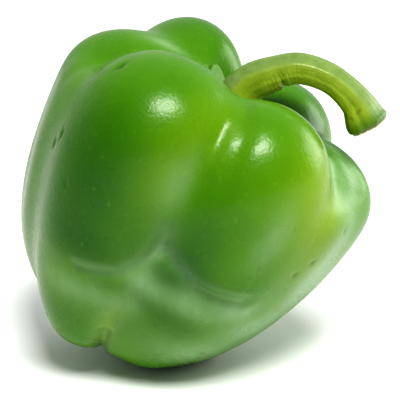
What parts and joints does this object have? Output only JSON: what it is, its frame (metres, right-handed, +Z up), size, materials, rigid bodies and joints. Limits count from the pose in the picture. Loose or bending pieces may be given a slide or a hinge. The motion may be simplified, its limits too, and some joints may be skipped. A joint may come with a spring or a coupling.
{
  "type": "bell pepper",
  "caption": "Blocky lobed green pepper with a crown hollow, calyx and short hooked stem, tipped over and resting on its blossom end.",
  "frame": {"origin": "centre of the bounding box's base, on the surface that the pepper rests on", "axes": "+Z up; the stem leans over and hooks towards +X; the broad front lobes face -Y"},
  "size_m": [0.098, 0.0808, 0.0896],
  "materials": {
    "fruit": "waxy, glossy green skin",
    "calyx": "satin, leaf-like green",
    "stem": "satin, ridged yellow-green, with a pale dry cut end"
  },
  "bodies": {
    "root": {"fruit": "fruit", "calyx": "calyx", "stem": "stem"}
  },
  "joints": []
}
